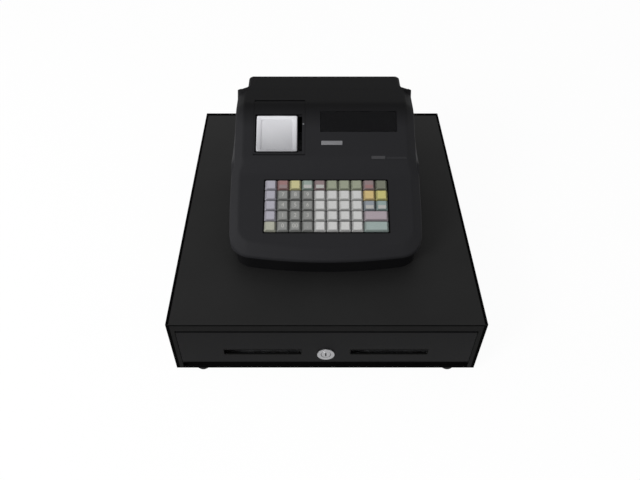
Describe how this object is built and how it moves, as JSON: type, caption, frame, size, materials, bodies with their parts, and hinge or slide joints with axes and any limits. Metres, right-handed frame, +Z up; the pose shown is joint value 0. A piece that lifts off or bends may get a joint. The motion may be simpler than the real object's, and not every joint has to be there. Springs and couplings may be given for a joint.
{
  "type": "ticket register",
  "caption": "Electronic cash register with keyboard, receipt printer and display on a wide flat cash drawer with till insert and lock.",
  "frame": {"origin": "on the counter under the middle of the whole object", "axes": "+X to the right as seen from the front, +Y from the drawer front to the rear, +Z up from the counter"},
  "size_m": [0.4, 0.452, 0.24],
  "materials": {
    "case_enamel": "fine satin powder coat",
    "panel_enamel": "fine satin powder coat",
    "zinc_steel": "zinc plated",
    "rubber": "matt",
    "nylon": "natural nylon",
    "insert_plastic": "moulded, fine grain",
    "spring_steel": "bright",
    "chrome": "polished",
    "hood_plastic": "moulded, fine grain",
    "pan_plastic": "moulded, fine grain",
    "clear_plastic": "clear",
    "smoked_plastic": "smoked, clear",
    "board": "lacquered circuit board",
    "display_glass": "display cell",
    "paper": "smooth",
    "frame_grey": "moulded",
    "dark_key": "moulded",
    "pale_key": "moulded",
    "pink_key": "moulded",
    "mint_key": "moulded"
  },
  "bodies": {
    "case": {"case_cover": "case_enamel", "case_base": "case_enamel", "foot_front_left": "rubber", "foot_front_right": "rubber", "foot_rear_left": "rubber", "foot_rear_right": "rubber", "rail_left": "zinc_steel", "rail_right": "zinc_steel", "latch_solenoid": "zinc_steel", "eject_spring": "spring_steel", "base_pan": "pan_plastic", "power_inlet": "pan_plastic", "hood": "hood_plastic", "display_lens": "smoked_plastic", "display_module": "display_glass", "rear_display_lens": "smoked_plastic", "function_keys": "pale_key", "key_frame": "frame_grey", "key_board": "board", "printer_frame": "frame_grey", "print_head": "zinc_steel", "tear_bar": "spring_steel", "main_board": "board"},
    "drawer": {"drawer_tray": "zinc_steel", "drawer_front": "panel_enamel", "lock_bezel": "chrome", "till_insert": "insert_plastic", "clip_axle": "zinc_steel", "drawer_striker": "zinc_steel"},
    "lock_core": {"lock_plug": "chrome", "lock_cam": "zinc_steel"},
    "latch_lever": {"latch_hook": "zinc_steel"},
    "plunger": {"solenoid_plunger": "spring_steel"},
    "cover": {"printer_cover": "hood_plastic", "cover_window": "clear_plastic"},
    "platen": {"platen_roller": "rubber"},
    "feed_wheel": {"feed_gear": "nylon"},
    "receipt_roll": {"paper_roll": "paper"},
    "roller_front_left_wheel": {"roller_front_left": "nylon"},
    "roller_front_right_wheel": {"roller_front_right": "nylon"},
    "roller_rear_left_wheel": {"roller_rear_left": "nylon"},
    "roller_rear_right_wheel": {"roller_rear_right": "nylon"},
    "note_clip_1_arm": {"note_clip_1": "spring_steel"},
    "note_clip_2_arm": {"note_clip_2": "spring_steel"},
    "note_clip_3_arm": {"note_clip_3": "spring_steel"},
    "note_clip_4_arm": {"note_clip_4": "spring_steel"},
    "key_7_cap": {"key_7": "dark_key"},
    "key_8_cap": {"key_8": "dark_key"},
    "key_9_cap": {"key_9": "dark_key"},
    "key_4_cap": {"key_4": "dark_key"},
    "key_5_cap": {"key_5": "dark_key"},
    "key_6_cap": {"key_6": "dark_key"},
    "key_1_cap": {"key_1": "dark_key"},
    "key_2_cap": {"key_2": "dark_key"},
    "key_3_cap": {"key_3": "dark_key"},
    "key_0_cap": {"key_0": "dark_key"},
    "key_00_cap": {"key_00": "dark_key"},
    "key_point_cap": {"key_point": "dark_key"},
    "key_subtotal_cap": {"key_subtotal": "pink_key"},
    "key_total_cap": {"key_total": "mint_key"}
  },
  "joints": [
    {"name": "drawer_slide", "type": "slide", "parent": "case", "child": "drawer", "axis": [0, -1, 0], "range_m": [0, 0.32]},
    {"name": "lock_turn", "type": "hinge", "parent": "drawer", "child": "lock_core", "pos_m": [0, -0.198, 0.0425], "axis": [0, 1, 0], "range_deg": [0, 90]},
    {"name": "latch_lever_swing", "type": "hinge", "parent": "case", "child": "latch_lever", "pos_m": [0, 0.206, 0.066], "axis": [1, 0, 0], "range_deg": [0, 12]},
    {"name": "plunger_travel", "type": "slide", "parent": "case", "child": "plunger", "axis": [0, 0, 1], "range_m": [0, 0.002]},
    {"name": "cover_lift", "type": "hinge", "parent": "case", "child": "cover", "pos_m": [0, 0.06, 0.2358], "axis": [-1, 0, 0], "range_deg": [0, 80]},
    {"name": "receipt_roll_turn", "type": "hinge", "parent": "case", "child": "receipt_roll", "pos_m": [-0.06775, 0.0265, 0.1945], "axis": [1, 0, 0], "continuous": true},
    {"name": "platen_turn", "type": "hinge", "parent": "case", "child": "platen", "pos_m": [-0.06775, -0.01, 0.1964], "axis": [1, 0, 0], "continuous": true},
    {"name": "feed_wheel_turn", "type": "hinge", "parent": "case", "child": "feed_wheel", "pos_m": [-0.0271, -0.00481, 0.18741], "axis": [1, 0, 0], "continuous": true},
    {"name": "roller_front_left_turn", "type": "hinge", "parent": "case", "child": "roller_front_left_wheel", "pos_m": [-0.18773, -0.195, 0.036], "axis": [1, 0, 0], "range_deg": [0, 2293]},
    {"name": "roller_front_right_turn", "type": "hinge", "parent": "case", "child": "roller_front_right_wheel", "pos_m": [0.18773, -0.195, 0.036], "axis": [1, 0, 0], "range_deg": [0, 2293]},
    {"name": "roller_rear_left_turn", "type": "hinge", "parent": "drawer", "child": "roller_rear_left_wheel", "pos_m": [-0.18773, 0.151, 0.0335], "axis": [1, 0, 0], "range_deg": [0, 2293]},
    {"name": "roller_rear_right_turn", "type": "hinge", "parent": "drawer", "child": "roller_rear_right_wheel", "pos_m": [0.18773, 0.151, 0.0335], "axis": [1, 0, 0], "range_deg": [0, 2293]},
    {"name": "note_clip_1_lift", "type": "hinge", "parent": "drawer", "child": "note_clip_1_arm", "pos_m": [-0.13275, 0.1522, 0.08], "axis": [-1, 0, 0], "range_deg": [0, 28], "stiffness_Nm_per_rad": 0.05, "springref_deg": -28.65},
    {"name": "note_clip_2_lift", "type": "hinge", "parent": "drawer", "child": "note_clip_2_arm", "pos_m": [-0.04425, 0.1522, 0.08], "axis": [-1, 0, 0], "range_deg": [0, 28], "stiffness_Nm_per_rad": 0.05, "springref_deg": -28.65},
    {"name": "note_clip_3_lift", "type": "hinge", "parent": "drawer", "child": "note_clip_3_arm", "pos_m": [0.04425, 0.1522, 0.08], "axis": [-1, 0, 0], "range_deg": [0, 28], "stiffness_Nm_per_rad": 0.05, "springref_deg": -28.65},
    {"name": "note_clip_4_lift", "type": "hinge", "parent": "drawer", "child": "note_clip_4_arm", "pos_m": [0.13275, 0.1522, 0.08], "axis": [-1, 0, 0], "range_deg": [0, 28], "stiffness_Nm_per_rad": 0.05, "springref_deg": -28.65},
    {"name": "key_7_press", "type": "slide", "parent": "case", "child": "key_7_cap", "axis": [0, 0.4061, -0.9138], "range_m": [0, 0.0025], "stiffness_N_per_m": 200, "springref_m": -0.001},
    {"name": "key_8_press", "type": "slide", "parent": "case", "child": "key_8_cap", "axis": [0, 0.4061, -0.9138], "range_m": [0, 0.0025], "stiffness_N_per_m": 200, "springref_m": -0.001},
    {"name": "key_9_press", "type": "slide", "parent": "case", "child": "key_9_cap", "axis": [0, 0.4061, -0.9138], "range_m": [0, 0.0025], "stiffness_N_per_m": 200, "springref_m": -0.001},
    {"name": "key_4_press", "type": "slide", "parent": "case", "child": "key_4_cap", "axis": [0, 0.4061, -0.9138], "range_m": [0, 0.0025], "stiffness_N_per_m": 200, "springref_m": -0.001},
    {"name": "key_5_press", "type": "slide", "parent": "case", "child": "key_5_cap", "axis": [0, 0.4061, -0.9138], "range_m": [0, 0.0025], "stiffness_N_per_m": 200, "springref_m": -0.001},
    {"name": "key_6_press", "type": "slide", "parent": "case", "child": "key_6_cap", "axis": [0, 0.4061, -0.9138], "range_m": [0, 0.0025], "stiffness_N_per_m": 200, "springref_m": -0.001},
    {"name": "key_1_press", "type": "slide", "parent": "case", "child": "key_1_cap", "axis": [0, 0.4061, -0.9138], "range_m": [0, 0.0025], "stiffness_N_per_m": 200, "springref_m": -0.001},
    {"name": "key_2_press", "type": "slide", "parent": "case", "child": "key_2_cap", "axis": [0, 0.4061, -0.9138], "range_m": [0, 0.0025], "stiffness_N_per_m": 200, "springref_m": -0.001},
    {"name": "key_3_press", "type": "slide", "parent": "case", "child": "key_3_cap", "axis": [0, 0.4061, -0.9138], "range_m": [0, 0.0025], "stiffness_N_per_m": 200, "springref_m": -0.001},
    {"name": "key_0_press", "type": "slide", "parent": "case", "child": "key_0_cap", "axis": [0, 0.4061, -0.9138], "range_m": [0, 0.0025], "stiffness_N_per_m": 200, "springref_m": -0.001},
    {"name": "key_00_press", "type": "slide", "parent": "case", "child": "key_00_cap", "axis": [0, 0.4061, -0.9138], "range_m": [0, 0.0025], "stiffness_N_per_m": 200, "springref_m": -0.001},
    {"name": "key_point_press", "type": "slide", "parent": "case", "child": "key_point_cap", "axis": [0, 0.4061, -0.9138], "range_m": [0, 0.0025], "stiffness_N_per_m": 200, "springref_m": -0.001},
    {"name": "key_subtotal_press", "type": "slide", "parent": "case", "child": "key_subtotal_cap", "axis": [0, 0.4061, -0.9138], "range_m": [0, 0.0025], "stiffness_N_per_m": 200, "springref_m": -0.001},
    {"name": "key_total_press", "type": "slide", "parent": "case", "child": "key_total_cap", "axis": [0, 0.4061, -0.9138], "range_m": [0, 0.0025], "stiffness_N_per_m": 200, "springref_m": -0.001}
  ],
  "couplings": [
    {"joint": "roller_front_left_turn", "follows": "drawer_slide", "rad_per_m": 125},
    {"joint": "roller_front_right_turn", "follows": "drawer_slide", "rad_per_m": 125},
    {"joint": "roller_rear_left_turn", "follows": "drawer_slide", "rad_per_m": 125},
    {"joint": "roller_rear_right_turn", "follows": "drawer_slide", "rad_per_m": 125},
    {"joint": "plunger_travel", "follows": "latch_lever_swing", "m_per_rad": 0.007},
    {"joint": "platen_turn", "follows": "receipt_roll_turn", "ratio": -3.9655},
    {"joint": "feed_wheel_turn", "follows": "receipt_roll_turn", "ratio": 6.3448}
  ]
}
